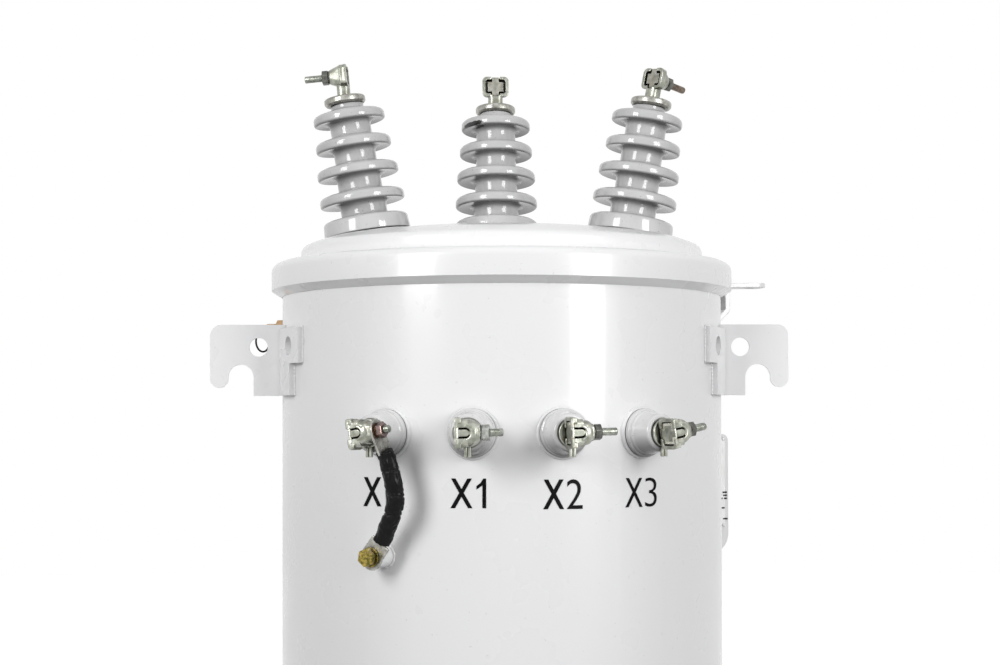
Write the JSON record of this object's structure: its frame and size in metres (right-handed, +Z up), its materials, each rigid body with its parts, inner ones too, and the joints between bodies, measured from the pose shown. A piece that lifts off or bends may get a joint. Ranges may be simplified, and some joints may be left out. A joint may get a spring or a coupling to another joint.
{
  "type": "pole mounted transformer",
  "caption": "Three-phase pole mounted distribution transformer: round steel tank with domed cover, porcelain bushings, eye clamps, lifting lugs, ground strap and pole hangers.",
  "frame": {"origin": "tank axis at the rim that the tank stands on", "axes": "+Z up along the tank axis, -Y the front with the low-voltage row, +X to the right seen from the front"},
  "size_m": [0.7866, 0.7456, 1.3361],
  "materials": {
    "tank_enamel": "glossy light grey baked enamel",
    "porcelain": "light grey glaze",
    "tin_plate": "tin plated, satin",
    "steel_zinc": "zinc plated steel",
    "yellow_zinc": "yellow zinc plated steel",
    "brass": "machined brass",
    "gasket_rubber": "black nitrile rubber",
    "sleeve": "black shrink sleeve",
    "ring_wire": "dark spring wire",
    "plate_sheet": "anodised sheet",
    "inner_mass": "core, coils and oil, sealed inside"
  },
  "bodies": {
    "root": {"arrester_bracket": "tank_enamel", "core_and_oil": "inner_mass", "cover": "tank_enamel", "cover_band": "tank_enamel", "cover_band_bolt": "steel_zinc", "ground_bolt": "yellow_zinc", "ground_boss": "tank_enamel", "ground_pad": "tank_enamel", "ground_strap": "sleeve", "hv_bushing_centre": "porcelain", "hv_bushing_left": "porcelain", "hv_bushing_right": "porcelain", "hv_caps": "tin_plate", "hv_clamp_centre": "tin_plate", "hv_clamp_jaws": "tin_plate", "hv_clamp_left": "tin_plate", "hv_clamp_right": "tin_plate", "hv_clamp_screws": "tin_plate", "hv_gaskets": "gasket_rubber", "lifting_lug_left": "tank_enamel", "lifting_lug_right": "tank_enamel", "lv_bushing_x0": "porcelain", "lv_bushing_x1": "porcelain", "lv_bushing_x2": "porcelain", "lv_bushing_x3": "porcelain", "lv_caps": "tin_plate", "lv_clamp_jaws": "tin_plate", "lv_clamp_screws": "tin_plate", "lv_clamp_x0": "tin_plate", "lv_clamp_x1": "tin_plate", "lv_clamp_x2": "tin_plate", "lv_clamp_x3": "tin_plate", "lv_gaskets": "gasket_rubber", "nameplate": "plate_sheet", "nameplate_holder": "tank_enamel", "pole_hanger_lower": "tank_enamel", "pole_hanger_upper": "tank_enamel", "relief_valve": "brass", "relief_valve_ring": "ring_wire", "strap_lug_lower": "tin_plate", "strap_lug_upper": "tin_plate", "tank_bottom": "tank_enamel", "tank_wall": "tank_enamel"}
  },
  "joints": []
}
